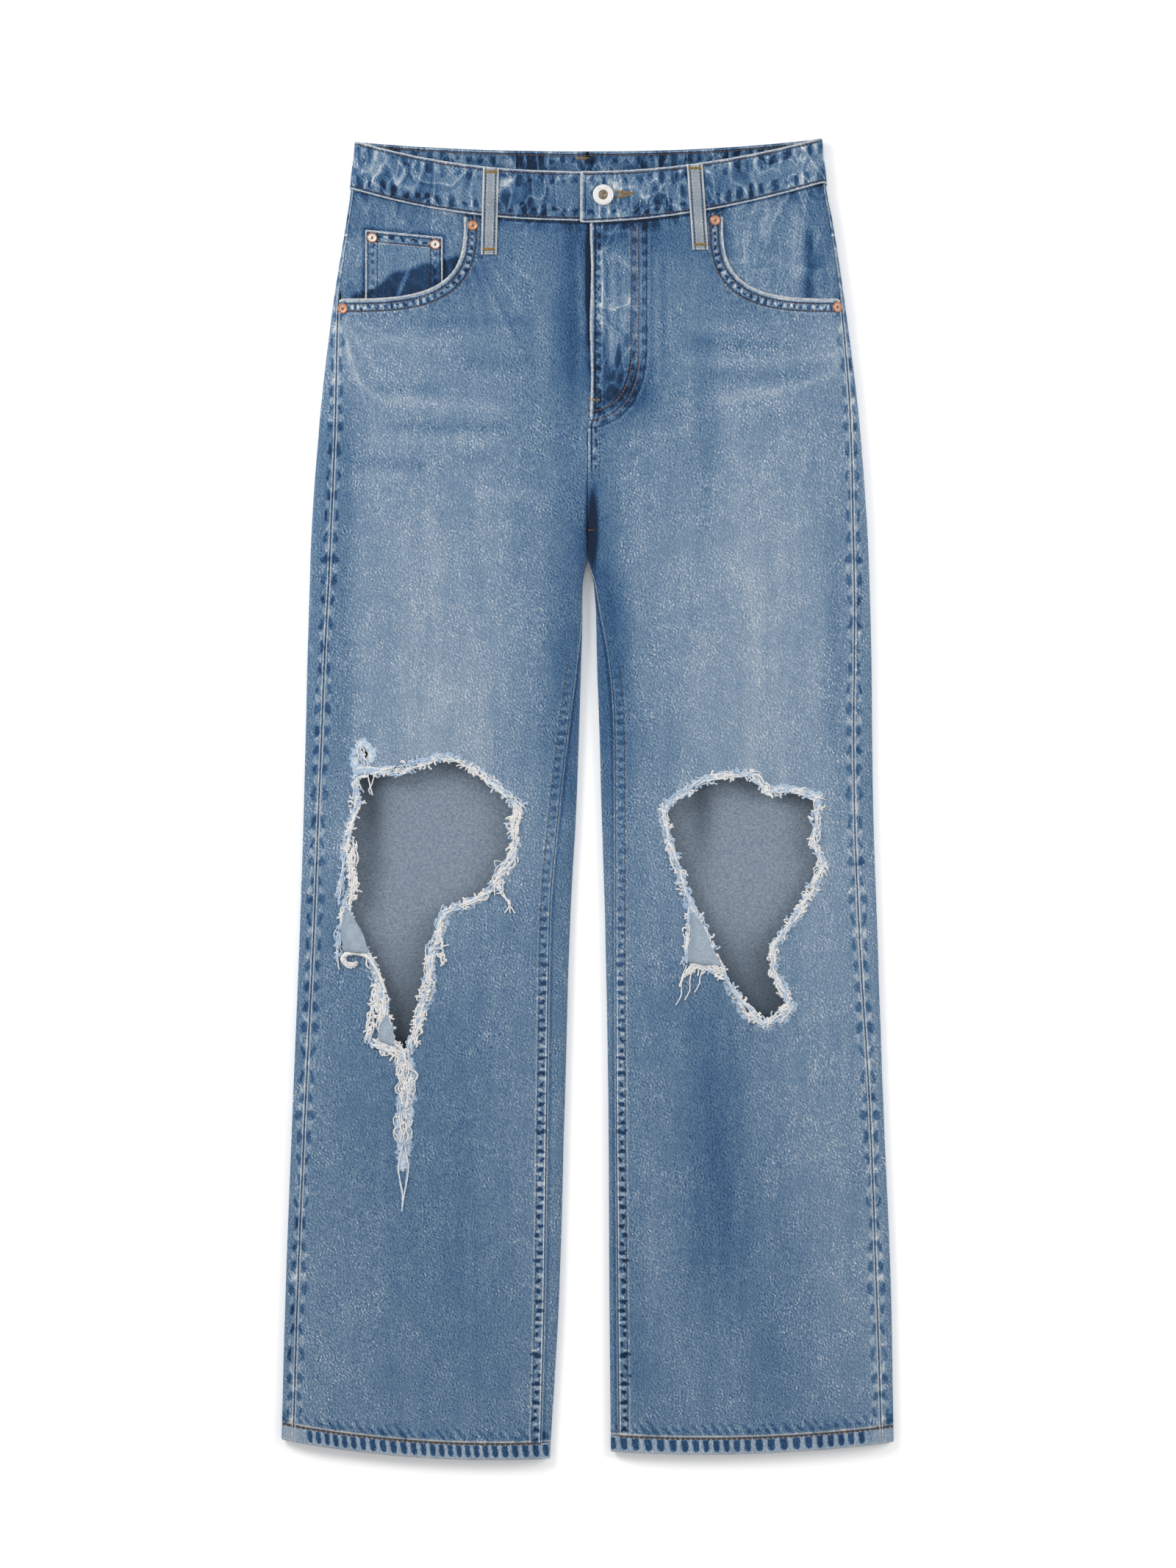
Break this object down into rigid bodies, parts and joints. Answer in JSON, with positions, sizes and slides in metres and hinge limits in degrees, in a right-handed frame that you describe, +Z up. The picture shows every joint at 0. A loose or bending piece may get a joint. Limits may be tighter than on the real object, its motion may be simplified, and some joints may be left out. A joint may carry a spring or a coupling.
{
  "type": "ripped jeans",
  "caption": "Straight-leg denim jeans laid flat, front up, with a turned-up hem on each leg, slanting front pockets and a large frayed rip at each knee.",
  "frame": {"origin": "centre of the laid-out garment's outline, on the surface that it lies on", "axes": "+Y from the hems to the waist, +Z up out of the front, +X towards the wearer's left leg"},
  "size_m": [0.5004, 1.0797, 0.0184],
  "materials": {
    "denim": "washed indigo twill, faded at the thighs",
    "denim_band": "washed indigo twill, darker, marbled by the stitching",
    "denim_pale": "washed indigo twill, worn pale at the edges",
    "white_metal": "matt silver",
    "copper": "antique copper"
  },
  "bodies": {
    "root": {"front_right": "denim", "front_left": "denim", "back_right": "denim", "back_left": "denim", "yoke_right": "denim", "yoke_left": "denim", "waistband": "denim_band", "pocket_facing_right": "denim", "pocket_facing_left": "denim", "coin_pocket": "denim", "back_pocket_right": "denim", "back_pocket_left": "denim", "belt_loop_front_right": "denim_pale", "belt_loop_front_left": "denim_pale", "belt_loop_side_right": "denim_pale", "belt_loop_side_left": "denim_pale", "belt_loop_back": "denim_pale", "hem_right": "denim", "hem_left": "denim", "button": "white_metal", "rivet_1": "copper", "rivet_2": "copper", "rivet_3": "copper", "rivet_4": "copper", "rivet_5": "copper", "rivet_6": "copper"}
  },
  "joints": []
}
